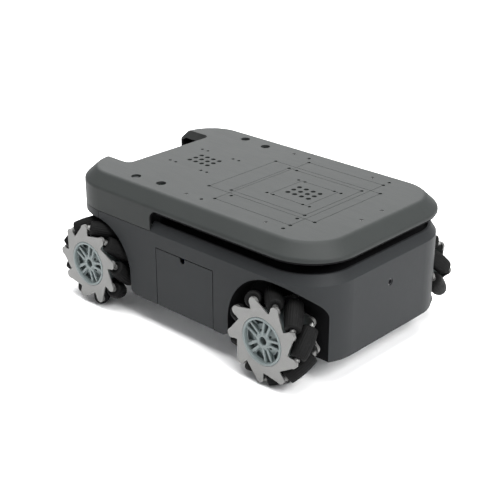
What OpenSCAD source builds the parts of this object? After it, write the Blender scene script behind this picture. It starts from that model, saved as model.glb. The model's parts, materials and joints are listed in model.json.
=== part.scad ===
/* [Body] */
// Length of the body over its front and rear walls
body_l = 315.3; // [314:0.1:318]
// Width of the body over its side walls
body_w = 198.8; // [196:0.1:202]
// Radius of the body's upright corners
corner_r = 48; // [44:0.5:50]
// Height of the flat top above the floor
top_z = 130; // [129:0.5:133]
// Height of the bottom edge above the floor
bottom_z = 24.1; // [23:0.1:26]
// Height of the seam between the cover and the lower shell
seam_z = 95.4; // [94.5:0.1:96]
// Thickness of the plastic walls
wall = 2.4; // [2:0.1:2.8]
// How far the bevel round the top runs inwards
bevel_w = 12.2; // [11:0.1:13]
// How far the bevel round the top drops
bevel_h = 11; // [10:0.1:12]

/* [Sensor slot] */
// Rear end of the slot
slot_x = -38; // [-42:0.5:-34]
// Height of the slot's upper edge
slot_z = 116; // [115:0.1:117]
// Radius at the slot's upper rear corners
slot_r = 9; // [6:0.5:10]
// Height of the sloped ledge under the slot
ledge_z = 103.5; // [102:0.1:105]
// Top of the deck inside the slot
deck_z = 99; // [98:0.1:100]

/* [Rear bay] */
// Front end of the bay cut into the cover
bay_x = -114.85; // [-118:0.1:-112]
// Half the width of the bay
bay_y = 55; // [50:0.5:58]
// Radius at the bay's inner corners
bay_r = 7; // [6:0.5:14]

/* [Wheels] */
// Distance between the front and rear axles
wheelbase = 224.54; // [223:0.01:226]
// Middle of the wheelbase, forward of the body's middle
axle_mid_x = -2.85; // [-4:0.01:-2]
// Height of the axles, which is the wheel's radius
axle_z = 42.5; // [42:0.1:43]
// Distance from the middle of the body to the middle of each wheel
track_y = 96; // [95.5:0.1:97]
// Number of rollers round each wheel
roller_n = 9; // [9:1:9]
// Distance from the wheel's axis to a roller's axis
roller_d = 34.3; // [34.2:0.01:34.4]
// Largest radius of a roller
roller_r = 8.2; // [8:0.01:8.3]
// Half the length of a roller
roller_h = 14.3; // [14:0.1:14.5]
// Radius of the roller's pin
pin_r = 1.5; // [1.4:0.05:1.6]
// Radius of the wheel's shaft
shaft_r = 3; // [2.5:0.1:3.2]

/* [Battery door] */
// Rear edge of the door opening
door_x0 = -30.95; // [-33:0.05:-29]
// Front edge of the door opening
door_x1 = 41.9; // [40:0.05:44]
// Upper edge of the door opening
door_z = 81.8; // [79:0.1:84]
// Gap round the door
door_gap = 0.8; // [0.6:0.05:1]

/* [Top plate holes] */
// Pitch of the two hole grids
grid_pitch = 8; // [7.8:0.05:8.2]
// Radius of the grid holes
grid_hole_r = 2.4; // [2.2:0.05:2.6]
// Middle of the rear grid
grid_x0 = -67.15; // [-69:0.05:-65]
// Middle of the front grid
grid_x1 = 58.55; // [57:0.05:60]
// Radius of the large rear holes
big_hole_r = 4.7; // [4:0.1:5]
// Radius of the small holes
small_hole_r = 1.75; // [1.5:0.05:1.9]
// Radius of the screw holes round each grid
pair_hole_r = 1.6; // [1.4:0.05:1.8]

/* [Hidden] */
$fn = 72;
gap = 0.5;
run_gap = 0.05;
big = 400;

corner_x = body_l / 2 - corner_r;
corner_y = body_w / 2 - corner_r;
inner_r = corner_r - wall;
seam_x = -109.15;

front_x = axle_mid_x + wheelbase / 2;
rear_x = axle_mid_x - wheelbase / 2;

lens_z = 74.7;
lens_r = 3.1;
lidar_x = 62;
lidar_r = 17.5;

well_y = 74;
well_wall = 2;
face_y = 69;

roller_tilt = 45;
roller_end_r = 6.8;
roller_ease = 0.9;
plate_in = 13.7;
plate_t = 1.2;
plate_out = plate_in + plate_t;
tip_r = 4.4;
tip_z = 12;
spacer_r = 2.6;
spacer_l = 2;
pin_end = 19;
hub_ring_r = 22;
hub_flange_r = 24;
hub_half = plate_out + 0.6;
hub_dish_r = 19.6;
hub_web_z = 10;
hub_boss_r = 8.6;
hub_boss_z = 13;

hinge_y = -94.5;
hinge_z = 28.5;
hinge_pin_r = 1.5;

base_z0 = 26.3;
base_z1 = 28.3;
shelf_z = 95;
rocker_x = -138;
rocker_y = -36;
rocker_z = 95.4;
rocker_r = 5.5;

// Holes of the top plate: [x, y] pairs that lie on both sides
big_holes = [[-82.65, 73.9], [-52.25, 70.6]];
small_holes = [
    [2.65, 73.2], [-15.65, 45.4], [10.05, 64.2], [6.45, 39.4],
    [98.55, 73.2], [98.55, 64.2], [93.05, 39.4], [109.25, 45.4]
];
screw_holes = [[-16.45, 73.2], [79.25, 73.2], [134.55, 14.4]];
single_holes = [[15.95, 39.4], [15.95, -49.2], [93.05, -49.2]];
// Engraved frames: [rear x, front x, half width]
frames = [[6.45, 93.05, 39.4], [-15.65, 109.25, 45.4], [10.05, 98.55, 64.2], [37.55, 79.55, 21.8]];
pair_x = 21;
pair_half = 3.8;
pair_y = 21.8;

// Points along an arc, from angle a0 to a1
function arc(cx, cz, r, a0, a1, n) =
    [for (i = [0:n]) [cx + r * cos(a0 + (a1 - a0) * i / n), cz + r * sin(a0 + (a1 - a0) * i / n)]];

// Sweeps an outline of [distance out from the corner centre, height] once round the body
module round_body(points) {
    for (q = [0:3]) {
        translate([(q == 0 || q == 3 ? 1 : -1) * corner_x, (q < 2 ? 1 : -1) * corner_y, 0])
            rotate([0, 0, 90 * q])
                rotate_extrude(angle = 90) polygon(points);
    }
    for (s = [0, 1]) {
        mirror([0, s, 0])
            translate([-corner_x, corner_y, 0])
                rotate([90, 0, 90]) linear_extrude(2 * corner_x) polygon(points);
        mirror([s, 0, 0])
            translate([corner_x, corner_y, 0])
                rotate([90, 0, 0]) linear_extrude(2 * corner_y) polygon(points);
    }
}

// The same, with the middle of the body filled from z0 to z1
module filled_body(points, z0, z1) {
    round_body(points);
    translate([-corner_x, -corner_y, z0]) cube([2 * corner_x, 2 * corner_y, z1 - z0]);
}

// Outline of the body in plan, drawn in by a distance
module body_plan(inset) {
    r = corner_r - inset;
    square([2 * corner_x, 2 * (corner_y + r)], center = true);
    square([2 * (corner_x + r), 2 * corner_y], center = true);
    for (sx = [-1, 1], sy = [-1, 1]) {
        translate([sx * corner_x, sy * corner_y]) circle(r = r);
    }
}

// Outer outline of the cover, with soft creases above and below the bevel
bevel_a = 90 - atan(bevel_h / bevel_w);
crease_top = 6;
crease_side = 4;
top_run = crease_top * tan((90 - bevel_a) / 2);
side_run = crease_side * tan(bevel_a / 2);
cover_outer = concat(
    [[0, top_z]],
    arc(corner_r - bevel_w - top_run, top_z - crease_top, crease_top, 90, bevel_a, 4),
    arc(corner_r - crease_side, top_z - bevel_h - side_run, crease_side, bevel_a, 0, 4),
    [[corner_r, seam_z + gap], [0, seam_z + gap]]
);
cover_inner = [
    [0, top_z - wall], [corner_r - bevel_w - 2, top_z - wall],
    [inner_r, top_z - bevel_h - 2.2], [inner_r, seam_z - 1], [0, seam_z - 1]
];

module bay_plan(grow) {
    translate([-big, -bay_y + bay_r]) square([big + bay_x + grow, 2 * (bay_y - bay_r)]);
    translate([-big, -bay_y - grow]) square([big + bay_x - bay_r, 2 * (bay_y + grow)]);
    for (s = [-1, 1]) {
        translate([bay_x - bay_r, s * (bay_y - bay_r)]) circle(r = bay_r + grow);
    }
}

// Everything below the slot's upper edge and in front of its rear end
module slot_cut() {
    translate([0, body_w, 0]) rotate([90, 0, 0]) linear_extrude(2 * body_w) {
        translate([slot_x + slot_r, seam_z - 10]) square([big, slot_z - seam_z + 10]);
        translate([slot_x, seam_z - 10]) square([slot_r + 1, slot_z - slot_r - seam_z + 10]);
        translate([slot_x + slot_r, slot_z - slot_r]) circle(r = slot_r);
    }
}

module both_sides(points) {
    for (p = points, s = [-1, 1]) {
        translate([p[0], s * p[1], 0]) children();
    }
}

module top_holes() {
    both_sides(big_holes) translate([0, 0, top_z - 6]) cylinder(r = big_hole_r, h = 10);
    both_sides(small_holes) translate([0, 0, top_z - 6]) cylinder(r = small_hole_r, h = 10);
    both_sides(screw_holes) translate([0, 0, top_z - 6]) cylinder(r = small_hole_r, h = 10);
    for (p = single_holes) {
        translate([p[0], p[1], top_z - 6]) cylinder(r = small_hole_r, h = 10);
    }
    for (gx = [grid_x0, grid_x1]) {
        for (i = [-1.5:1:1.5], j = [-1:1:1]) {
            translate([gx + i * grid_pitch, j * grid_pitch, top_z - 6])
                cylinder(r = grid_hole_r, h = 10);
        }
        for (sx = [-1, 1], sy = [-1, 1], k = [-1, 1]) {
            translate([gx + sx * pair_x + k * pair_half, sy * pair_y, top_z - 6])
                cylinder(r = pair_hole_r, h = 10);
        }
    }
}

module engraved_frames() {
    line_w = 0.5;
    line_d = 0.25;
    for (f = frames) {
        difference() {
            translate([f[0] - line_w / 2, -f[2] - line_w / 2, top_z - line_d])
                cube([f[1] - f[0] + line_w, 2 * f[2] + line_w, 1]);
            translate([f[0] + line_w / 2, -f[2] + line_w / 2, top_z - line_d - 1])
                cube([f[1] - f[0] - line_w, 2 * f[2] - line_w, 3]);
        }
    }
}

// Thin inset rim that hangs under the cover's edge along the slot
module slot_rim() {
    intersection() {
        round_body([
            [inner_r - 0.6, slot_z - 2], [corner_r - 1.2, slot_z - 2],
            [corner_r - 1.2, slot_z + 1], [inner_r - 0.6, slot_z + 1]
        ]);
        translate([slot_x + slot_r, -big / 2, 0]) cube([big, big, big]);
    }
}

module top_cover() {
    color([0.50, 0.51, 0.50]) {
        difference() {
            filled_body(cover_outer, seam_z + gap, top_z);
            difference() {
                filled_body(cover_inner, seam_z - 1, top_z - wall);
                translate([0, 0, top_z - 9.5]) linear_extrude(9.5) bay_plan(wall);
            }
            translate([0, 0, seam_z - 5]) linear_extrude(60) bay_plan(0);
            slot_cut();
            top_holes();
            engraved_frames();
        }
        slot_rim();
    }
}

// Side view of a wheel arch, in the wheel's own x and the floor's z; +x points to mid-body
module arch_outline(front, grow) {
    arch_r = front ? 51.2 : 47.2;
    arch_x = front ? -1 : 1;
    arch_z = front ? 42 : 41.2;
    edge_x = front ? -42.33 : -60;
    nook_r = 20;
    nook_x = edge_x + nook_r;
    nook_out = arch_r - nook_r;
    nook_z = arch_z + (front ? sqrt(nook_out * nook_out - (nook_x - arch_x) * (nook_x - arch_x)) : 0);
    difference() {
        intersection() {
            translate([arch_x, arch_z]) circle(r = arch_r + grow);
            translate([edge_x - grow, -1]) square([big, big]);
        }
        if (front) {
            polygon([
                [nook_x, nook_z], [nook_x - 60, nook_z],
                [nook_x + 2 * (nook_x - arch_x), nook_z + 2 * (nook_z - arch_z)]
            ]);
        }
    }
    if (front) {
        translate([nook_x, nook_z]) circle(r = nook_r + grow);
    }
    translate([edge_x - grow, -1]) square([arch_x - edge_x + arch_r + 2 * grow, arch_z + 1]);
    if (!front) {
        translate([edge_x, -1]) square([arch_x - edge_x, arch_z + arch_r + grow + 1]);
    }
}

// Rounded flare where an arch meets the bottom edge
module arch_flare(x, r) {
    difference() {
        translate([x - 1, bottom_z - 1]) square([r + 1, r + 1]);
        translate([x + r, bottom_z + r]) circle(r = r);
    }
}

module at_arch(front, side, y0, depth) {
    mirror([0, side > 0 ? 1 : 0, 0])
        translate([front ? front_x : rear_x, -y0, 0])
            mirror([front ? 1 : 0, 0, 0])
                rotate([90, 0, 0]) linear_extrude(depth) children();
}

module wheel_wells(grow, y0) {
    for (front = [true, false], side = [-1, 1]) {
        at_arch(front, side, y0, 60) arch_outline(front, grow);
    }
}

module arch_flares() {
    for (side = [-1, 1]) {
        at_arch(true, side, well_y + 10, 60) arch_flare(50.2, 7);
        at_arch(false, side, well_y + 10, 60) arch_flare(48.2, 7);
    }
}

module well_liners() {
    intersection() {
        wheel_wells(well_wall, well_y - well_wall);
        union() {
            intersection() {
                translate([0, 0, bottom_z]) linear_extrude(deck_z - 1 - bottom_z) body_plan(1);
                translate([seam_x, -big / 2, 0]) cube([big, big, big]);
            }
            translate([0, 0, bottom_z]) linear_extrude(seam_z - 4 - bottom_z) body_plan(wall + gap);
        }
    }
}

// The shell's wall with the deck: a plain step behind the slot, a sloped ledge along it
shell_rear = [
    [inner_r, bottom_z], [corner_r, bottom_z], [corner_r, seam_z], [inner_r - gap, seam_z],
    [inner_r - gap, deck_z], [0, deck_z], [0, deck_z - 2], [inner_r - 3, deck_z - 2], [inner_r, seam_z - 3]
];
shell_front = [
    [inner_r, bottom_z], [corner_r, bottom_z], [corner_r, seam_z], [corner_r - 5.5, ledge_z],
    [corner_r - 7.5, ledge_z], [corner_r - 7.5, deck_z], [0, deck_z], [0, deck_z - 2],
    [inner_r - 5, deck_z - 2], [inner_r, seam_z - 3]
];

module shell_body() {
    intersection() {
        filled_body(shell_front, deck_z - 2, deck_z);
        translate([slot_x + 0.3, -big / 2, 0]) cube([big, big, big]);
    }
    intersection() {
        filled_body(shell_rear, deck_z - 2, deck_z);
        translate([seam_x, -big / 2, 0]) cube([slot_x + 0.3 - seam_x, big, big]);
    }
    translate([slot_x + 2, -88, deck_z - 1]) cube([wall, 176, 18]);
    well_liners();
    for (x = [door_x0 - 5, door_x1]) {
        translate([x, -body_w / 2 + 1, bottom_z + 0.4]) cube([5, 8, 9]);
    }
}

module lower_shell() {
    color([0.26, 0.27, 0.28]) difference() {
        shell_body();
        wheel_wells(0, well_y);
        arch_flares();
        translate([door_x0, -body_w / 2 - 5, bottom_z - 5])
            cube([door_x1 - door_x0, wall + 5.2, door_z - bottom_z + 5]);
        translate([door_x0 - 4, hinge_y, hinge_z]) rotate([0, 90, 0])
            cylinder(r = hinge_pin_r + run_gap, h = door_x1 - door_x0 + 8);
        translate([body_l / 2 - 10, 0, lens_z]) rotate([0, 90, 0])
            cylinder(r = lens_r + 0.2, h = 20);
        for (x = [front_x, rear_x]) {
            translate([x, -100, axle_z]) rotate([-90, 0, 0]) cylinder(r = 6, h = 200);
        }
        translate([lidar_x, 0, deck_z - 5]) cylinder(r = lidar_r + 3, h = 10);
    }
}

module rear_panel() {
    color([0.26, 0.27, 0.28]) difference() {
        union() {
            intersection() {
                round_body([
                    [inner_r, bottom_z], [corner_r, bottom_z], [corner_r, seam_z], [inner_r, seam_z]
                ]);
                translate([-big + seam_x - 0.8, -big / 2, 0]) cube([big, big, big]);
            }
            translate([-body_l / 2 + 1, -corner_y - 5, shelf_z - 2]) cube([42, 2 * corner_y + 10, 2]);
        }
        wheel_wells(0, well_y - well_wall - 0.4);
        translate([rocker_x - 7.2, rocker_y - 8.2, shelf_z - 5]) cube([14.4, 16.4, 10]);
    }
}

module battery_door() {
    x0 = door_x0 + door_gap;
    x1 = door_x1 - door_gap;
    color([0.26, 0.27, 0.28]) {
        difference() {
            translate([x0, -body_w / 2, bottom_z + 0.4])
                cube([x1 - x0, wall, door_z - door_gap - bottom_z - 0.4]);
            translate([3.65, -body_w / 2 - 1, door_z - 3]) rotate([-90, 0, 0])
                cylinder(r = 3, h = 10);
            translate([3.65 - 3, -body_w / 2 - 1, door_z - 3]) cube([6, 10, 10]);
        }
        for (x = [x0, x1 - 2]) {
            translate([x, -body_w / 2 + 1, bottom_z + 1]) cube([2, 6.4, 6.6]);
        }
        translate([x0 - 3.2, hinge_y, hinge_z]) rotate([0, 90, 0]) cylinder(r = hinge_pin_r, h = 4.2);
        translate([x1 - 1, hinge_y, hinge_z]) rotate([0, 90, 0]) cylinder(r = hinge_pin_r, h = 4.2);
    }
}

module base_plate() {
    color([0.62, 0.63, 0.65]) difference() {
        translate([0, 0, base_z0]) linear_extrude(base_z1 - base_z0) {
            square([292, 138], center = true);
            translate([-60, -90]) square([110, 180]);
        }
        for (x = [front_x, rear_x], s = [-1, 1], k = [-1, 1]) {
            translate([x + 9 * k, s * 56, base_z0 - 1]) cylinder(r = 1.7, h = 5);
        }
        for (x = [-38, 38], y = [12, 56]) {
            translate([x, y, base_z0 - 1]) cylinder(r = 1.7, h = 5);
        }
    }
}

// Puts a wheel's parts in place: local z points outwards from the body, local y up
module at_wheel(front, side) {
    mirror([0, side > 0 ? 1 : 0, 0])
        translate([front ? front_x : rear_x, -track_y, axle_z])
            rotate([90, 0, 0])
                mirror([front ? 0 : 1, 0, 0])
                    children();
}

// Angle of the first roller on each wheel
function wheel_phase(front, side) = front ? (side < 0 ? 9.5 : 25.5) : (side < 0 ? 27.5 : 10);

module at_roller(phase, k) {
    rotate([0, 0, phase + 360 / roller_n * k])
        translate([roller_d, 0, 0])
            rotate([roller_tilt, 0, 0]) children();
}

function turned(p, a) = [p[0] * cos(a) - p[1] * sin(a), p[0] * sin(a) + p[1] * cos(a)];

// One tooth of a side plate, beside the roller whose end it holds: notch, then both sides of the round tip
tooth = [[28, -7.14], [33.2, -9.75], [33.2, -17]];
tip_at = [32.03, -13.33];

module tooth_plan(phase) {
    difference() {
        polygon([for (k = [0:roller_n - 1], p = tooth) turned(p, phase - 360 / roller_n * k)]);
        circle(r = hub_ring_r);
    }
}

// Flat plate whose teeth end in thick round tips, with a spacer between each tip and its roller
module side_plate(phase) {
    difference() {
        union() {
            translate([0, 0, plate_in]) linear_extrude(plate_t + 1) tooth_plan(phase);
            for (k = [0:roller_n - 1]) {
                rotate([0, 0, phase + 360 / roller_n * k]) translate([tip_at[0], tip_at[1], tip_z])
                    cylinder(r = tip_r, h = plate_out - tip_z + 2);
                at_roller(phase, k) translate([0, 0, roller_h + 0.3]) cylinder(r = spacer_r, h = spacer_l);
            }
        }
        translate([0, 0, plate_out]) cylinder(r = 60, h = 5);
    }
}

module wheel_frame(front, side) {
    phase = wheel_phase(front, side);
    color([0.66, 0.67, 0.67]) at_wheel(front, side) {
        side_plate(phase);
        rotate([180, 0, 0]) side_plate(-phase);
        for (k = [0:roller_n - 1]) {
            at_roller(phase, k) translate([0, 0, -pin_end]) cylinder(r = pin_r, h = 2 * pin_end);
        }
        translate([0, 0, 55 - track_y]) cylinder(r = shaft_r, h = track_y - 55 + 8);
    }
}

// Angle of the first of the hub's five spokes
function hub_phase(front, side) = front ? (side < 0 ? 3 : 20) : (side < 0 ? 33 : 50);

// Hub with a dished web round a boss on the outside and a plain recess on the inside
module hub_body(phase) {
    difference() {
        union() {
            translate([0, 0, -hub_half]) cylinder(r = hub_ring_r - 0.15, h = 2 * hub_half);
            translate([0, 0, -plate_in]) cylinder(r = hub_flange_r, h = 2 * plate_in);
        }
        difference() {
            translate([0, 0, hub_web_z]) cylinder(r = hub_dish_r, h = 20);
            translate([0, 0, hub_web_z - 1]) cylinder(r = hub_boss_r, h = hub_boss_z - hub_web_z + 1);
        }
        translate([0, 0, -hub_half - 1]) cylinder(r = hub_dish_r, h = 5);
        translate([0, 0, -hub_half - 1]) cylinder(r = shaft_r + 0.02, h = 30);
        translate([0, 0, hub_web_z]) cylinder(r = 3.9, h = 20);
        for (k = [0:4]) {
            rotate([0, 0, phase + 36 + 72 * k]) {
                translate([6.2, 0, 6]) cylinder(r = 1, h = 20);
                translate([15.6, 0, -20]) cylinder(r = 2.6, h = 40);
            }
        }
    }
    for (k = [0:4]) {
        rotate([0, 0, phase + 72 * k]) translate([8.2, -2.6, hub_web_z - 0.4]) cube([11.8, 5.2, 3.6]);
    }
}

module wheel_hub(front, side) {
    color([0.55, 0.59, 0.60]) at_wheel(front, side) hub_body(hub_phase(front, side));
}

// Barrel with a curved side, turned about the roller's own axis, on a running fit
module roller(front, side, k) {
    sag = roller_r - roller_end_r;
    arc_r = (roller_h * roller_h + sag * sag) / (2 * sag);
    end_a = asin((roller_h - roller_ease) / arc_r);
    color([0.13, 0.13, 0.13])
        at_wheel(front, side) at_roller(wheel_phase(front, side), k - 1) rotate_extrude() polygon(concat(
            [[pin_r + 0.08, -roller_h], [roller_end_r - roller_ease, -roller_h]],
            arc(roller_r - arc_r, 0, arc_r, -end_a, end_a, 8),
            [[roller_end_r - roller_ease, roller_h], [pin_r + 0.08, roller_h]]
        ));
}

module gear_motors() {
    color([0.70, 0.70, 0.70]) for (x = [front_x, rear_x], s = [0, 1]) {
        mirror([0, s, 0]) translate([x, -face_y, axle_z]) rotate([-90, 0, 0]) difference() {
            union() {
                cylinder(r = 12.5, h = 21);
                cylinder(r = 12, h = 50);
                cylinder(r = 10.5, h = 58);
                translate([0, 0, -7]) cylinder(r = 3.9, h = 8);
            }
            translate([0, 0, -8]) cylinder(r = shaft_r + run_gap, h = 24);
        }
    }
}

module motor_brackets() {
    color([0.35, 0.36, 0.37]) for (x = [front_x, rear_x], s = [0, 1]) {
        mirror([0, s, 0]) translate([x, -face_y, base_z1]) difference() {
            union() {
                translate([-14, -2, 0]) cube([28, 2, 28]);
                translate([-14, -2, 0]) cube([28, 26, 1.5]);
            }
            translate([0, -5, axle_z - base_z1]) rotate([-90, 0, 0]) cylinder(r = 4.2, h = 10);
            for (k = [-1, 1]) {
                translate([9 * k, face_y - 56, -1]) cylinder(r = 1.7, h = 5);
            }
        }
    }
}

module battery_pack() {
    color([0.15, 0.25, 0.42]) difference() {
        translate([-27, -90, base_z1 + 0.2]) cube([65, 66, 42]);
        translate([5, -91, 60]) cube([16, 4, 8]);
    }
}

module main_board() {
    board_z = deck_z + 4;
    color([0.10, 0.32, 0.22]) {
        difference() {
            translate([-106, -44, board_z]) cube([62, 88, 1.6]);
            for (x = [-102, -48], y = [-40, 40]) {
                translate([x, y, board_z - 1]) cylinder(r = 1.6, h = 4);
            }
        }
        translate([-109, -31, board_z + 1.6]) cube([18, 14, 15.5]);
        translate([-109, -12, board_z + 1.6]) cube([18, 14, 15.5]);
        translate([-109, 8, board_z + 1.6]) cube([21, 16, 13.5]);
        translate([-78, -14, board_z + 1.6]) cube([28, 28, 9]);
    }
}

module driver_board() {
    board_z = base_z1 + 5;
    color([0.12, 0.20, 0.40]) {
        difference() {
            translate([-42, 8, board_z]) cube([84, 52, 1.6]);
            for (x = [-38, 38], y = [12, 56]) {
                translate([x, y, board_z - 1]) cylinder(r = 1.6, h = 4);
            }
        }
        for (i = [0:3]) {
            translate([-34 + 19 * i, 44, board_z + 1.6]) cube([11, 9, 7]);
        }
        translate([-12, 18, board_z + 1.6]) cube([22, 18, 8]);
    }
}

module lidar_base() {
    color([0.12, 0.12, 0.13]) translate([lidar_x, 0, 0]) difference() {
        union() {
            translate([0, 0, deck_z - 17]) cylinder(r = lidar_r + 2.5, h = 20);
            translate([0, 0, deck_z + 0.1]) cylinder(r = lidar_r + 6, h = 1.9);
        }
        translate([0, 0, deck_z - 12]) cylinder(r = shaft_r + run_gap, h = 40);
    }
}

module lidar_head() {
    color([0.10, 0.10, 0.11]) translate([lidar_x, 0, 0]) {
        difference() {
            translate([0, 0, deck_z + 3.4]) cylinder(r = lidar_r, h = 17);
            translate([lidar_r - 3, -7, deck_z + 7]) cube([6, 14, 8]);
        }
        translate([0, 0, deck_z - 11]) cylinder(r = shaft_r, h = 15);
    }
}

module camera_module() {
    color([0.10, 0.10, 0.11]) {
        translate([143, -12.5, lens_z - 12]) cube([1.6, 25, 24]);
        translate([144.6, -5, lens_z - 5]) cube([5, 10, 10]);
        difference() {
            translate([149.6, 0, lens_z]) rotate([0, 90, 0]) cylinder(r = lens_r, h = 7.4);
            translate([155, 0, lens_z]) rotate([0, 90, 0]) cylinder(r = 2.3, h = 10);
        }
    }
}

module switch_body() {
    color([0.08, 0.08, 0.08]) translate([rocker_x, rocker_y, rocker_z]) difference() {
        union() {
            translate([-7, -8, -15]) cube([14, 16, 15]);
            translate([-9, -10, -0.2]) cube([18, 20, 1.8]);
        }
        rotate([90, 0, 0]) translate([0, 0, -6]) cylinder(r = rocker_r + 0.35, h = 12);
        rotate([90, 0, 0]) translate([0, 0, -7.2]) cylinder(r = 1 + run_gap, h = 14.4);
        translate([-rocker_r - 0.35, -6, 0]) cube([2 * rocker_r + 0.7, 12, 10]);
    }
}

module switch_rocker() {
    color([0.45, 0.08, 0.06]) translate([rocker_x, rocker_y, rocker_z]) rotate([0, -9, 0]) {
        difference() {
            rotate([90, 0, 0]) translate([0, 0, -5.7]) cylinder(r = rocker_r, h = 11.4);
            for (s = [-1, 1]) {
                rotate([0, 14 * s, 0]) translate([-10 + 10 * s, -8, 3.6]) cube([20, 16, 8]);
            }
        }
        rotate([90, 0, 0]) translate([0, 0, -7]) cylinder(r = 1, h = 14);
    }
}

module standoff(z0, z1, r) {
    difference() {
        translate([0, 0, z0]) cylinder(r = r, h = z1 - z0);
        translate([0, 0, z0 - 1]) cylinder(r = 1.3, h = z1 - z0 + 2);
    }
}

module fasteners() {
    color([0.55, 0.55, 0.56]) {
        both_sides(screw_holes) {
            standoff(deck_z + 0.05, top_z - wall - 0.05, 3);
            translate([0, 0, top_z - 1.4]) cylinder(r = small_hole_r - 0.1, h = 1.1);
            translate([0, 0, top_z - 9]) cylinder(r = 1.25, h = 8);
        }
        for (x = [-102, -48], y = [-40, 40]) {
            translate([x, y, 0]) standoff(deck_z + 0.05, deck_z + 3.95, 2.5);
        }
        for (x = [-38, 38], y = [12, 56]) {
            translate([x, y, 0]) standoff(base_z1 + 0.05, base_z1 + 4.95, 2.5);
        }
    }
}

top_cover();
lower_shell();
rear_panel();
battery_door();
base_plate();
wheel_frame(true, -1);  // wheel_frame_fr
wheel_frame(true, 1);  // wheel_frame_fl
wheel_frame(false, -1);  // wheel_frame_rr
wheel_frame(false, 1);  // wheel_frame_rl
wheel_hub(true, -1);  // wheel_hub_fr
wheel_hub(true, 1);  // wheel_hub_fl
wheel_hub(false, -1);  // wheel_hub_rr
wheel_hub(false, 1);  // wheel_hub_rl
for (k = [1:9]) {
    roller(true, -1, k);
    roller(true, 1, k);
    roller(false, -1, k);
    roller(false, 1, k);
}
gear_motors();
motor_brackets();
battery_pack();
main_board();
driver_board();
lidar_base();
lidar_head();
camera_module();
switch_body();
switch_rocker();
fasteners();
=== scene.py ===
"""Looks of the four wheel robot chassis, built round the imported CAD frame. Lengths are in metres."""

import json
import math

import bmesh
import bpy
from mathutils import Matrix, Vector


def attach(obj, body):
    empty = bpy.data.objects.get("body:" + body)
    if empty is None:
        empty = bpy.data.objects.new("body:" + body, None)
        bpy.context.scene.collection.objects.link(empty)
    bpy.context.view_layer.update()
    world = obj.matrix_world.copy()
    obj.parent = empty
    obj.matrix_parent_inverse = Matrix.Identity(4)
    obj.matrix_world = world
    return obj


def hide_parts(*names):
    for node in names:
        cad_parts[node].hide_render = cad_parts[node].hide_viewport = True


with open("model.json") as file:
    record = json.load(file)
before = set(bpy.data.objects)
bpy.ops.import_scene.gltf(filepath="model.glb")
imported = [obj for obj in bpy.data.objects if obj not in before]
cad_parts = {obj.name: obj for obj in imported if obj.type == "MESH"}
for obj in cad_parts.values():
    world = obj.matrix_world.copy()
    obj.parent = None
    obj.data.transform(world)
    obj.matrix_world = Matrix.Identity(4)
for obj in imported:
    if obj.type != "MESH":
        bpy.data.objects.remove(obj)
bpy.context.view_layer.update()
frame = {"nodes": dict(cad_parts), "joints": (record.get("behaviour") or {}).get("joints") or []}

MM = 0.001
IN_MM = Matrix.Scale(MM, 4)
scene = bpy.context.scene
nodes_by_name = frame["nodes"]
joints = {j["name"]: j for j in frame["joints"]}
WHEELS = ("fr", "fl", "rr", "rl")
ROLLERS = range(1, 10)

# The body's plan is a rounded rectangle. These are the middles of its corners, in metres, and for each shell
# a level, the reach of its inner face from those middles below the level, and the reach above it.
CORNER_X, CORNER_Y = 0.10965, 0.0514
COVER_INSIDE = (0.1183, 0.0471, -1.0)
SHELL_INSIDE = (0.0938, 0.0472, 0.0403)
# Painted shade: the shells' faces inside their walls are coloured near-black to stand in for the darkness
# inside the body.
INSIDE_PAINTED_SHADE = (0.004, 0.004, 0.0045)


# ---------------------------------------------------------------- materials

def start_material(name):
    """A new material, a function that adds a node, and its Principled shader."""
    material = bpy.data.materials.new(name)
    material.use_nodes = True
    tree = material.node_tree
    shader = tree.nodes["Principled BSDF"]

    def add(kind, inputs=None, **settings):
        node = tree.nodes.new(kind)
        for key, value in settings.items():
            setattr(node, key, value)
        for key, value in (inputs or {}).items():
            if isinstance(value, bpy.types.NodeSocket):
                tree.links.new(value, node.inputs[key])
            else:
                node.inputs[key].default_value = value
        return node

    return material, add, shader, tree.links


def object_coordinates(add, stretch=(1, 1, 1)):
    place = add("ShaderNodeTexCoord").outputs["Object"]
    return add("ShaderNodeMapping", {"Vector": place, "Scale": stretch}).outputs["Vector"]


def noise(add, place, size, detail=3.0, rough=0.55):
    """Noise from 0 to 1 whose features are about size metres across."""
    inputs = {"Vector": place, "Scale": 1 / size, "Detail": detail, "Roughness": rough}
    return add("ShaderNodeTexNoise", inputs).outputs["Fac"]


def remap(add, value, low, high, to_low, to_high):
    """Stretches low..high to to_low..to_high and holds the ends."""
    inputs = {0: value, 1: low, 2: high, 3: to_low, 4: to_high}
    return add("ShaderNodeMapRange", inputs).outputs["Result"]


def combine(add, kind, a, b):
    return add("ShaderNodeMath", {0: a, 1: b}, operation=kind).outputs[0]


def tint(add, colour, amount):
    """colour times amount, which is a socket."""
    inputs = {"Color": (*colour, 1), "Value": amount}
    return add("ShaderNodeHueSaturation", inputs).outputs["Color"]


def blend_colours(add, share, first, second):
    """The first colour where share is 0 and the second where it is 1."""
    node = add("ShaderNodeMix", data_type="RGBA")
    for name, kind, value in (("Factor", "VALUE", share), ("A", "RGBA", first), ("B", "RGBA", second)):
        socket = next(s for s in node.inputs if s.name == name and s.type == kind)
        if isinstance(value, bpy.types.NodeSocket):
            node.id_data.links.new(value, socket)
        else:
            socket.default_value = (*value, 1)
    return next(s for s in node.outputs if s.type == "RGBA")


def edge_mask(add, radius, strength):
    """0 on flat ground and towards 1 within radius of an edge."""
    soft = add("ShaderNodeBevel", {"Radius": radius}, samples=4).outputs["Normal"]
    plain = add("ShaderNodeNewGeometry").outputs["Normal"]
    facing = add("ShaderNodeVectorMath", {0: soft, 1: plain}, operation="DOT_PRODUCT").outputs["Value"]
    return remap(add, facing, 1.0, 1.0 - 0.3 / strength, 0.0, 1.0)


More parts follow.
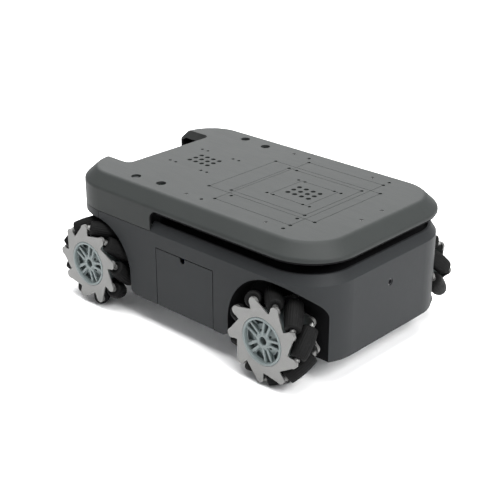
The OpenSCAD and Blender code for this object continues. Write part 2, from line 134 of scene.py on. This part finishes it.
def finish_surface(add, shader, links, colour, roughness, heights):
    """Joins the colour, roughness and a list of (height socket, depth in metres) to the shader."""
    links.new(colour, shader.inputs["Base Color"])
    links.new(roughness, shader.inputs["Roughness"])
    normal = None
    for height, depth in heights:
        inputs = {"Height": height, "Distance": depth, "Strength": 1.0}
        if normal is not None:
            inputs["Normal"] = normal
        normal = add("ShaderNodeBump", inputs).outputs["Normal"]
    if normal is not None:
        links.new(normal, shader.inputs["Normal"])


def moulded_plastic(name, colour, roughness, grain=0.0007, depth=0.00004, edge_wear_and_highlight=0.12, specular=0.4,
                    hollow=None):
    """Spark-eroded texture, faint cloudiness, handling marks and paler edges, partly edge wear and partly a
    painted highlight. A hollow's inside gets painted shade: a near-black colour standing in for the darkness
    inside.
    """
    material, add, shader, links = start_material(name)
    place = object_coordinates(add)
    cloud = noise(add, place, 0.06, 2.0)
    speck = noise(add, place, grain, 2.0)
    smear = noise(add, object_coordinates(add, (1, 6, 3)), 0.02, 4.0)
    clouded = remap(add, cloud, 0.3, 0.7, 0.95, 1.03)
    value = combine(add, "ADD", clouded, remap(add, speck, 0.2, 0.8, -0.05, 0.05))
    edges = edge_mask(add, 0.0005, 1.0)
    # Paler edges: partly edge wear and partly a painted highlight along every edge.
    value = combine(add, "ADD", value, combine(add, "MULTIPLY", edges, edge_wear_and_highlight))
    rough = remap(add, smear, 0.3, 0.75, roughness - 0.015, roughness + 0.02)
    paint = tint(add, colour, value)
    # Painted shade: behind the walls the colour is blended to near-black and the gloss dulled, standing in
    # for the darkness inside the body.
    if hollow:
        inside = behind_walls(add, *hollow)
        paint = blend_colours(add, inside, paint, INSIDE_PAINTED_SHADE)
        rough = combine(add, "MAXIMUM", rough, remap(add, inside, 0.0, 1.0, 0.0, 0.95))
    shader.inputs["Specular IOR Level"].default_value = specular
    finish_surface(add, shader, links, paint, rough, [(speck, depth)])
    return material


def behind_walls(add, level, reach_below, reach_above):
    """The mask of the painted shade: 1 inside the body's walls and 0 on and outside them. A reach below 0
    gives 0 on that side.
    """
    place = add("ShaderNodeSeparateXYZ", {"Vector": add("ShaderNodeTexCoord").outputs["Object"]}).outputs
    over = []
    for axis, middle in (("X", CORNER_X), ("Y", CORNER_Y)):
        off = combine(add, "SUBTRACT", combine(add, "ABSOLUTE", place[axis], 0.0), middle)
        over.append(combine(add, "POWER", combine(add, "MAXIMUM", off, 0.0), 2.0))
    reach = combine(add, "SQRT", combine(add, "ADD", *over), 0.0)
    blur = 0.0001
    wall = remap(add, place["Z"], level - blur, level + blur, reach_below, reach_above)
    return remap(add, combine(add, "SUBTRACT", reach, wall), -blur, blur, 1.0, 0.0)


def blasted_metal(name, colour, roughness=0.5, edge_painted_highlight=0.5):
    """Bead-blasted sheet whose edges get a painted highlight and a smoother finish, and a few rubbed patches.
    """
    material, add, shader, links = start_material(name)
    place = object_coordinates(add)
    grain = noise(add, place, 0.0005, 2.0)
    patch = noise(add, place, 0.012, 3.0)
    edges = edge_mask(add, 0.0004, 0.6)
    grained = remap(add, grain, 0.25, 0.75, 0.88, 1.1)
    value = combine(add, "ADD", grained, remap(add, patch, 0.3, 0.7, -0.05, 0.05))
    # Painted highlight: the edges' colour is brightened as if they caught the light.
    value = combine(add, "ADD", value, combine(add, "MULTIPLY", edges, edge_painted_highlight))
    rough = combine(add, "SUBTRACT", remap(add, patch, 0.3, 0.7, roughness - 0.05, roughness + 0.08),
                    combine(add, "MULTIPLY", edges, 0.15))
    shader.inputs["Metallic"].default_value = 1.0
    finish_surface(add, shader, links, tint(add, colour, value), rough, [(grain, 0.00005)])
    return material


def brushed_metal(name, colour, stretch, roughness=0.35):
    """Metal with fine lines drawn along one direction, and a few darker stains."""
    material, add, shader, links = start_material(name)
    lines = noise(add, object_coordinates(add, stretch), 0.002, 4.0, 0.7)
    stain = noise(add, object_coordinates(add), 0.015, 2.0)
    lined = remap(add, lines, 0.3, 0.7, 0.85, 1.1)
    value = combine(add, "ADD", lined, remap(add, stain, 0.35, 0.75, 0.0, -0.12))
    rough = remap(add, lines, 0.3, 0.7, roughness - 0.08, roughness + 0.12)
    shader.inputs["Metallic"].default_value = 1.0
    finish_surface(add, shader, links, tint(add, colour, value), rough, [(lines, 0.00003)])
    return material


def rubber(name, colour):
    """Matt rubber with bloom, dust and a fine skin."""
    material, add, shader, links = start_material(name)
    place = object_coordinates(add)
    skin = noise(add, place, 0.0004, 2.0)
    bloom = noise(add, place, 0.008, 4.0)
    dust = noise(add, place, 0.0022, 3.0, 0.7)
    bloomed = remap(add, bloom, 0.3, 0.75, 0.75, 1.35)
    value = combine(add, "ADD", bloomed, remap(add, dust, 0.6, 0.85, 0.0, 0.9))
    rough = remap(add, bloom, 0.3, 0.7, 0.6, 0.8)
    shader.inputs["Specular IOR Level"].default_value = 0.12
    heights = [(skin, 0.00004), (dust, 0.00006)]
    finish_surface(add, shader, links, tint(add, colour, value), rough, heights)
    return material


def gloss_plastic(name, colour, roughness=0.22, coat=0.3):
    """Shiny moulded plastic with a slight orange peel and fingerprints in its gloss."""
    material, add, shader, links = start_material(name)
    place = object_coordinates(add)
    peel = noise(add, place, 0.0015, 1.0)
    prints = noise(add, place, 0.006, 5.0, 0.7)
    value = remap(add, prints, 0.3, 0.7, 0.9, 1.15)
    rough = remap(add, prints, 0.35, 0.7, roughness, roughness + 0.14)
    shader.inputs["Coat Weight"].default_value = coat
    finish_surface(add, shader, links, tint(add, colour, value), rough, [(peel, 0.00002)])
    return material


def shrink_wrap(name, colour):
    """Heat-shrunk film that puckers over the cells under it."""
    material, add, shader, links = start_material(name)
    pucker = noise(add, object_coordinates(add, (1, 1, 0.3)), 0.004, 3.0, 0.6)
    wave = {"Vector": object_coordinates(add), "Scale": 17.0, "Distortion": 0.4}
    cells = add("ShaderNodeTexWave", wave, wave_type="BANDS", bands_direction="Y").outputs["Fac"]
    puckered = remap(add, pucker, 0.3, 0.7, 0.85, 1.15)
    value = combine(add, "ADD", puckered, remap(add, cells, 0.0, 1.0, -0.1, 0.1))
    rough = remap(add, pucker, 0.3, 0.7, 0.2, 0.34)
    shader.inputs["Coat Weight"].default_value = 0.25
    heights = [(cells, 0.0008), (pucker, 0.0003)]
    finish_surface(add, shader, links, tint(add, colour, value), rough, heights)
    return material


def circuit_board(name, colour, track_colour):
    """Solder mask over copper tracks, with plated dots."""
    material, add, shader, links = start_material(name)
    place = object_coordinates(add)
    blocks = add("ShaderNodeTexBrick", {
        "Vector": place, "Scale": 60.0, "Mortar Size": 0.03, "Mortar Smooth": 0.2,
        "Color1": (0, 0, 0, 1), "Color2": (0.4, 0.4, 0.4, 1), "Mortar": (1, 1, 1, 1),
    }).outputs["Color"]
    dots = add("ShaderNodeTexVoronoi", {"Vector": place, "Scale": 260.0}).outputs["Distance"]
    plated = remap(add, dots, 0.18, 0.12, 0.0, 1.0)
    mottle = noise(add, place, 0.004, 3.0)
    mask = tint(add, colour, remap(add, mottle, 0.3, 0.7, 0.9, 1.1))
    tracks = blend_colours(add, remap(add, blocks, 0.0, 1.0, 0.0, 0.8), mask, track_colour)
    colours = blend_colours(add, plated, tracks, (0.5, 0.48, 0.4))
    rough = remap(add, plated, 0.0, 1.0, 0.32, 0.22)
    shader.inputs["Coat Weight"].default_value = 0.2
    finish_surface(add, shader, links, colours, rough, [(blocks, 0.00006)])
    return material


def pale_floor(name):
    """Matt white paint with a very faint cloudiness."""
    material, add, shader, links = start_material(name)
    place = object_coordinates(add)
    cloud = noise(add, place, 0.4, 2.0)
    value = remap(add, cloud, 0.3, 0.7, 0.985, 1.0)
    shader.inputs["Specular IOR Level"].default_value = 0.1
    rough = remap(add, cloud, 0.3, 0.7, 0.6, 0.7)
    finish_surface(add, shader, links, tint(add, (0.9, 0.9, 0.9), value), rough, [])
    return material


COVER = moulded_plastic("cover plastic", (0.024, 0.0262, 0.0255), 0.5, edge_wear_and_highlight=0.25, specular=0.12,
                        hollow=COVER_INSIDE)
SHELL = moulded_plastic("shell plastic", (0.0195, 0.0209, 0.022), 0.52, edge_wear_and_highlight=0.2, specular=0.1,
                        hollow=SHELL_INSIDE)
PLATE = blasted_metal("blasted aluminium", (0.185, 0.185, 0.181))
HUB = moulded_plastic("hub plastic", (0.125, 0.15, 0.15), 0.38, 0.0005, 0.00002, 0.35)
RUBBER = rubber("roller rubber", (0.003, 0.003, 0.003))
BASE = brushed_metal("base aluminium", (0.45, 0.46, 0.47), (1, 20, 1), 0.4)
MOTOR = brushed_metal("motor steel", (0.5, 0.49, 0.47), (10, 1, 10), 0.32)
BRACKET = moulded_plastic("bracket paint", (0.045, 0.046, 0.05), 0.6, 0.0012, 0.00006, 0.8)
BLACK = gloss_plastic("black plastic", (0.012, 0.012, 0.014))
DULL_BLACK = moulded_plastic("dull black plastic", (0.02, 0.02, 0.022), 0.6, 0.0006, 0.00003, 0.3)
RED = gloss_plastic("rocker red", (0.35, 0.02, 0.015), 0.2, 0.5)
WRAP = shrink_wrap("battery wrap", (0.03, 0.07, 0.2))
GREEN = circuit_board("green board", (0.015, 0.09, 0.045), (0.05, 0.2, 0.09))
BLUE = circuit_board("blue board", (0.015, 0.045, 0.14), (0.04, 0.12, 0.3))
OXIDE = brushed_metal("black oxide", (0.1, 0.1, 0.1), (1, 1, 8), 0.38)

CAD_LOOKS = {
    "top_cover": COVER, "lower_shell": SHELL, "rear_panel": SHELL, "battery_door": SHELL,
    "base_plate": BASE, "gear_motors": MOTOR, "motor_brackets": BRACKET, "battery_pack": WRAP,
    "main_board": GREEN, "driver_board": BLUE, "lidar_base": DULL_BLACK, "lidar_head": BLACK,
    "camera_module": BLACK, "switch_body": BLACK, "switch_rocker": RED, "fasteners": OXIDE,
}
for wheel in WHEELS:
    CAD_LOOKS["wheel_frame_" + wheel] = PLATE
    CAD_LOOKS["wheel_hub_" + wheel] = HUB
    for k in ROLLERS:
        CAD_LOOKS[f"roller_{wheel}_{k}"] = RUBBER
for name, node in nodes_by_name.items():
    node.data.materials.clear()
    node.data.materials.append(CAD_LOOKS[name])


# ---------------------------------------------------------------- mesh tools

def revolve(mesh, place, profile, steps, radius_at=None):
    """Turns a closed loop of (radius, height) about local z. radius_at changes a radius from step to step."""
    rings = []
    for i in range(steps):
        a = 2 * math.pi * i / steps
        ring = []
        for r, z in profile:
            out = radius_at(r, z, i) if radius_at else r
            ring.append(mesh.verts.new(place @ Vector((out * math.cos(a), out * math.sin(a), z))))
        rings.append(ring)
    n = len(profile)
    for i in range(steps):
        here, there = rings[i], rings[(i + 1) % steps]
        for k in range(n):
            m = (k + 1) % n
            mesh.faces.new((here[k], here[m], there[m], there[k]))


def prism(mesh, place, outline, z0, z1):
    """Closed prism over a convex outline of (x, y)."""
    low = [mesh.verts.new(place @ Vector((x, y, z0))) for x, y in outline]
    high = [mesh.verts.new(place @ Vector((x, y, z1))) for x, y in outline]
    n = len(outline)
    mesh.faces.new(low)
    mesh.faces.new(high)
    for k in range(n):
        m = (k + 1) % n
        mesh.faces.new((low[k], low[m], high[m], high[k]))


def bar_outline(ax, ay, ar, bx, by, br, n=6):
    """Outline of a bar with round ends of radius ar at a and br at b."""
    heading = math.atan2(by - ay, bx - ax)
    points = []
    for cx, cy, r, first in ((bx, by, br, heading - math.pi / 2), (ax, ay, ar, heading + math.pi / 2)):
        for i in range(n + 1):
            a = first + math.pi * i / n
            points.append((cx + r * math.cos(a), cy + r * math.sin(a)))
    return points


def make_piece(name, mesh, material, body, crease=35):
    """Turns the mesh into a named piece that rides on a body and takes a material slot's finish."""
    bmesh.ops.recalc_face_normals(mesh, faces=mesh.faces)
    data = bpy.data.meshes.new(name)
    mesh.to_mesh(data)
    mesh.free()
    data.materials.append(material)
    for face in data.polygons:
        face.use_smooth = True
    data.set_sharp_from_angle(angle=math.radians(crease))
    piece = bpy.data.objects.new(name, data)
    scene.collection.objects.link(piece)
    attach(piece, body)
    return piece


# ---------------------------------------------------------------- wheels

def wheel_place(wheel):
    """Millimetres about the wheel's middle: x away from mid-body, y up and z out of the body."""
    middle = Vector(joints[f"wheel_{wheel}_drive"]["pos_m"])
    ahead = math.copysign(1, middle.x)
    outward = math.copysign(1, middle.y)
    turn = Matrix(((ahead, 0, 0), (0, 0, outward), (0, 1, 0))).to_4x4()
    return Matrix.Translation(middle) @ turn @ IN_MM


HUB_PHASE = {"fr": 3, "fl": 20, "rr": 33, "rl": 50}  # degrees from the wheel's x to a spoke
SPOKES = 5
SECTOR = 360 // SPOKES
WEB_IN, WEB_OUT, WEB_THICK = 7.4, 20.2, 1.6
SLOT_IN, SLOT_OUT, SLOT_HALF = 8.9, 19.1, 9
WINDOW_IN, WINDOW_OUT, WINDOW_FROM = 14.8, 18.5, 20
HOLE_IN, HOLE_OUT, HOLE_FROM = 7.8, 10.0, 29.5


def hub_web(mesh, place, phase):
    """Dished web with a slot inside each forked spoke, and a window and a small hole between spokes."""
    radii = (
        WEB_IN, HOLE_IN, SLOT_IN, HOLE_OUT, 11.4, 13.0, WINDOW_IN, 15.4, 17.0, WINDOW_OUT, SLOT_OUT, WEB_OUT,
    )
    half = (0, 4.5, SLOT_HALF, 11.5, 16, WINDOW_FROM, 22.5, 26, HOLE_FROM, 33, SECTOR / 2)
    sector = [-a for a in reversed(half[1:])] + list(half[:-1])
    angles = [phase + SECTOR * s + a for s in range(SPOKES) for a in sector]

    def dish(r):
        """Height of the web's front face, highest at the boss and lowest midway to the rim."""
        share = min(1, (r - WEB_IN) / (WEB_OUT - WEB_IN))
        return 12.9 - 2.5 * math.sin(math.pi * share) ** 1.5 - 0.06 * (r - WEB_IN)

    def is_open(r, a):
        off = abs((a - phase + SECTOR / 2) % SECTOR - SECTOR / 2)
        slot = off < SLOT_HALF and SLOT_IN < r < SLOT_OUT
        window = off > WINDOW_FROM and WINDOW_IN < r < WINDOW_OUT
        small_hole = off > HOLE_FROM and HOLE_IN < r < HOLE_OUT
        return slot or window or small_hole

    n = len(angles)
    front, back = {}, {}
    for i, r in enumerate(radii):
        for j, a in enumerate(angles):
            x, y = r * math.cos(math.radians(a)), r * math.sin(math.radians(a))
            front[i, j] = mesh.verts.new(place @ Vector((x, y, dish(r))))
            back[i, j] = mesh.verts.new(place @ Vector((x, y, dish(r) - WEB_THICK)))
    solid = {}
    for i in range(len(radii) - 1):
        for j in range(n):
            step = (angles[(j + 1) % n] - angles[j]) % 360
            solid[i, j] = not is_open((radii[i] + radii[i + 1]) / 2, angles[j] + step / 2)
    for (i, j), filled in solid.items():
        if not filled:
            continue
        k = (j + 1) % n
        mesh.faces.new((front[i, j], front[i + 1, j], front[i + 1, k], front[i, k]))
        mesh.faces.new((back[i, k], back[i + 1, k], back[i + 1, j], back[i, j]))
        walls = (
            ((i - 1, j), (i, j), (i, k)), ((i + 1, j), (i + 1, k), (i + 1, j)),
            ((i, (j - 1) % n), (i + 1, j), (i, j)), ((i, k), (i, k), (i + 1, k)),
        )
        for beside, a, b in walls:
            if not solid.get(beside, False):
                mesh.faces.new((front[a], front[b], back[b], back[a]))
    loose = [v for v in mesh.verts if not v.link_faces]
    bmesh.ops.delete(mesh, geom=loose, context="VERTS")


def build_hub(wheel):
    """The web, and the rim, boss and forked spokes that stand for the CAD hub."""
    place, phase = wheel_place(wheel), HUB_PHASE[wheel]
    mesh = bmesh.new()
    hub_web(mesh, place, phase)
    web = make_piece("hub_web_" + wheel, mesh, HUB, "wheel_" + wheel, 40)
    soften = web.modifiers.new("soften", "SUBSURF")
    soften.levels = soften.render_levels = 1

    mesh = bmesh.new()
    face = 15.45
    rim = [(19.2, 7.6), (19.2, 14.3), (19.5, 15.1), (20.1, face), (21.0, face), (21.5, 15.2), (21.7, 14.7)]
    drum = [(21.7, 13.65), (23.95, 13.6), (23.95, -13.6), (21.7, -13.65)]
    far_rim = [(r, -z) for r, z in reversed(rim[1:])]
    back = [(19.2, -11.7), (7.0, -11.7), (7.0, -13.4), (3.1, -13.4), (3.1, 7.0), (8.0, 7.0)]
    revolve(mesh, place, rim + drum + far_rim + back, 96)
    boss = [
        (3.8, 6.8), (3.8, 12.9), (4.2, 13.4), (5.8, 13.4), (6.6, 13.2), (7.4, 13.0), (8.2, 12.7), (8.2, 6.8),
    ]
    revolve(mesh, place, boss, 64)
    fork_in, fork_out, spoke_end = 2.35, 3.5, 19.6
    for k in range(SPOKES):
        turn = Matrix.Rotation(math.radians(phase + SECTOR * k), 4, "Z")
        for side in (-1, 1):
            low = bar_outline(7.2, side * fork_in, 1.35, spoke_end, side * fork_out, 1.25)
            prism(mesh, place @ turn, low, 9.2, 13.0)
            top = bar_outline(7.0, side * fork_in, 1.05, spoke_end, side * fork_out, 0.95)
            prism(mesh, place @ turn, top, 12.9, 13.4)
    core = make_piece("hub_" + wheel, mesh, HUB, "wheel_" + wheel)
    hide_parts("wheel_hub_" + wheel)


def build_roller(wheel, k):
    """Ribbed rubber barrel with a recessed face at each end; the plastic core under it is not drawn as a part
    of its own.
    """
    joint = joints[f"roller_{wheel}_{k}_spin"]
    upright = Vector(joint["axis"]).to_track_quat("Z", "X").to_matrix().to_4x4()
    place = Matrix.Translation(joint["pos_m"]) @ upright @ IN_MM
    half, middle_r, end_r, bore = 14.3, 8.2, 6.8, 1.62
    sag = middle_r - end_r
    bend = (half * half + sag * sag) / (2 * sag)  # radius of the barrel's long curve
    ends = 1.6  # radius of the round where the barrel meets its end face
    end_z = 14.28
    rib_end, rib_depth, rib_steps = 13.2, 0.28, 4

    def barrel(z):
        r = math.sqrt(bend * bend - z * z) - bend + middle_r
        over = max(0.0, abs(z) - (half - ends))
        return r - (ends - math.sqrt(max(0.0, ends * ends - over * over)))

    upper = [0, 4, 8, 11, 12.6, 13.1, 13.5, 13.9, 14.15, end_z]
    heights = [-z for z in reversed(upper[1:])] + upper
    skin = [(barrel(z), z) for z in heights]
    face = [(4.4, end_z), (4.3, 13.7), (3.1, 13.7), (3.0, 14.1), (bore, 14.1)]
    profile = skin + face + [(r, -z) for r, z in reversed(face)]

    def ribbed(r, z, i):
        on_tread = abs(z) <= rib_end and r >= 5
        in_groove = i % rib_steps >= rib_steps / 2
        return r - rib_depth if on_tread and in_groove else r

    mesh = bmesh.new()
    revolve(mesh, place, profile, 96, ribbed)
    piece = make_piece(f"tread_{wheel}_{k}", mesh, RUBBER, f"roller_{wheel}_{k}", 50)
    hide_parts(f"roller_{wheel}_{k}")


for wheel in WHEELS:
    build_hub(wheel)
    for k in ROLLERS:
        build_roller(wheel, k)


# ---------------------------------------------------------------- screws and standoffs

TOP_Z, COVER_T, DECK_Z, FLOOR_Z = 130.0, 2.4, 99.0, 28.3  # millimetres
FIT = 0.05  # a standoff's gap at each end
HEAD_SUNK, SCREW_LENGTH = 0.3, 7.0
SCREWS = [(x, side * y) for x, y in ((-16.45, 73.2), (79.25, 73.2), (134.55, 14.4)) for side in (-1, 1)]
MAIN_BOARD_STANDOFFS = [(x, y) for x in (-102, -48) for y in (-40, 40)]
DRIVER_BOARD_STANDOFFS = [(x, y) for x in (-38, 38) for y in (12, 56)]


def socket_screw(mesh, x, y, top, length):
    """Countersunk head with a hexagonal socket, and a threaded shank below it."""
    place = IN_MM @ Matrix.Translation((x, y, 0))
    socket_r, thread_r, root_r, pitch = 0.82, 1.22, 1.0, 0.8
    depth = top - 0.65
    steps = 48

    def hexagon(r, z, i):
        """Opens the socket's circle out to six flats, eight steps to each."""
        return socket_r / math.cos(math.radians(i % 8 * 360 / steps - 30)) if r == socket_r else r

    head = [(1.45, top), (1.6, top - 0.15), (1.6, top - 0.8)]
    shank = []
    turns = int(length / pitch)
    for k in range(turns):
        z = top - 1.1 - k * length / turns
        shank += [(thread_r, z), (root_r, z - 0.25)]
    tip = top - 1.3 - length
    profile = [(0.02, depth), (socket_r, depth), (socket_r, top)] + head + shank + [(0.7, tip), (0.02, tip)]
    revolve(mesh, place, profile, steps, hexagon)


def standoff(mesh, x, y, z0, z1, r):
    """Hexagonal spacer with chamfered ends and a threaded hole."""
    place = IN_MM @ Matrix.Translation((x, y, 0))

    bore, chamfer, steps = 1.3, 0.4, 36

    def hexagon(radius, z, i):
        """Draws the outside in to six flats, six steps to each, and leaves the bore round."""
        across = 1 / math.cos(math.radians(i % 6 * 360 / steps - 30))
        return min(radius * across * 0.93, r) if radius > bore else radius

    edge = r - chamfer
    profile = [(bore, z0), (edge, z0), (r, z0 + chamfer), (r, z1 - chamfer), (edge, z1), (bore, z1)]
    revolve(mesh, place, profile, steps, hexagon)


def build_fasteners():
    """The cover's screws, and the standoffs under the cover and the two boards, for the CAD fasteners."""
    mesh = bmesh.new()
    for x, y in SCREWS:
        socket_screw(mesh, x, y, TOP_Z - HEAD_SUNK, SCREW_LENGTH)
    screws = make_piece("cover_screws", mesh, OXIDE, "chassis", 30)
    mesh = bmesh.new()
    for x, y in SCREWS:
        standoff(mesh, x, y, DECK_Z + FIT, TOP_Z - COVER_T - FIT, 3.0)
    for x, y in MAIN_BOARD_STANDOFFS:
        standoff(mesh, x, y, DECK_Z + FIT, DECK_Z + 4 - FIT, 2.5)
    for x, y in DRIVER_BOARD_STANDOFFS:
        standoff(mesh, x, y, FLOOR_Z + FIT, FLOOR_Z + 5 - FIT, 2.5)
    standoffs = make_piece("standoffs", mesh, OXIDE, "chassis", 30)
    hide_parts("fasteners")
    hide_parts("fasteners")


build_fasteners()


# ---------------------------------------------------------------- stage, lights and camera

def build_stage():
    """A floor 12 m across."""
    mesh = bmesh.new()
    bmesh.ops.create_grid(mesh, x_segments=8, y_segments=8, size=6)
    data = bpy.data.meshes.new("floor")
    mesh.to_mesh(data)
    mesh.free()
    data.materials.append(pale_floor("floor paint"))
    floor = bpy.data.objects.new("floor", data)
    scene.collection.objects.link(floor)


def area_light(name, position, aim, size, power):
    data = bpy.data.lights.new(name, "AREA")
    data.shape = "RECTANGLE"
    data.size, data.size_y = size
    data.energy = power
    lamp = bpy.data.objects.new(name, data)
    scene.collection.objects.link(lamp)
    lamp.location = position
    lamp.rotation_mode = "QUATERNION"
    lamp.rotation_quaternion = (Vector(aim) - Vector(position)).to_track_quat("-Z", "Y")


def build_lights():
    """The one behind gives the top its sheen at the camera's low angle."""
    area_light("back", (-1.5, 1.5, 1.3), (0, 0, 0.1), (2.4, 1.6), 40)
    area_light("overhead", (0, 0, 2.0), (0, 0, 0), (1.6, 1.6), 75)
    area_light("key", (1.6, -0.2, 1.5), (0, 0, 0.05), (0.9, 0.9), 52)
    world = bpy.data.worlds.new("studio")
    world.use_nodes = True
    background = world.node_tree.nodes["Background"].inputs
    background["Color"].default_value = (0.97, 0.98, 1, 1)
    background["Strength"].default_value = 0.5
    scene.world = world


def build_camera():
    """Off the front right corner, looking a little down. Angles are in degrees and lengths in metres."""
    azimuth, elevation, roll = math.radians(42.98), math.radians(24.19), math.radians(0.14)
    target, distance = Vector((0.00973, -0.01799, 0.065)), 1.0405
    level = math.cos(elevation)
    back = Vector((math.sin(azimuth) * level, -math.cos(azimuth) * level, math.sin(elevation)))
    data = bpy.data.cameras.new("camera")
    data.sensor_width = 36  # millimetres, as is the focal length
    data.lens = 80.33
    camera = bpy.data.objects.new("camera", data)
    scene.collection.objects.link(camera)
    camera.location = target + back * distance
    camera.rotation_mode = "QUATERNION"
    facing = (-back).to_track_quat("-Z", "Y")
    camera.rotation_quaternion = facing @ Matrix.Rotation(roll, 3, "Z").to_quaternion()
    scene.camera = camera


build_stage()
build_lights()
build_camera()
scene.view_settings.view_transform = "Standard"
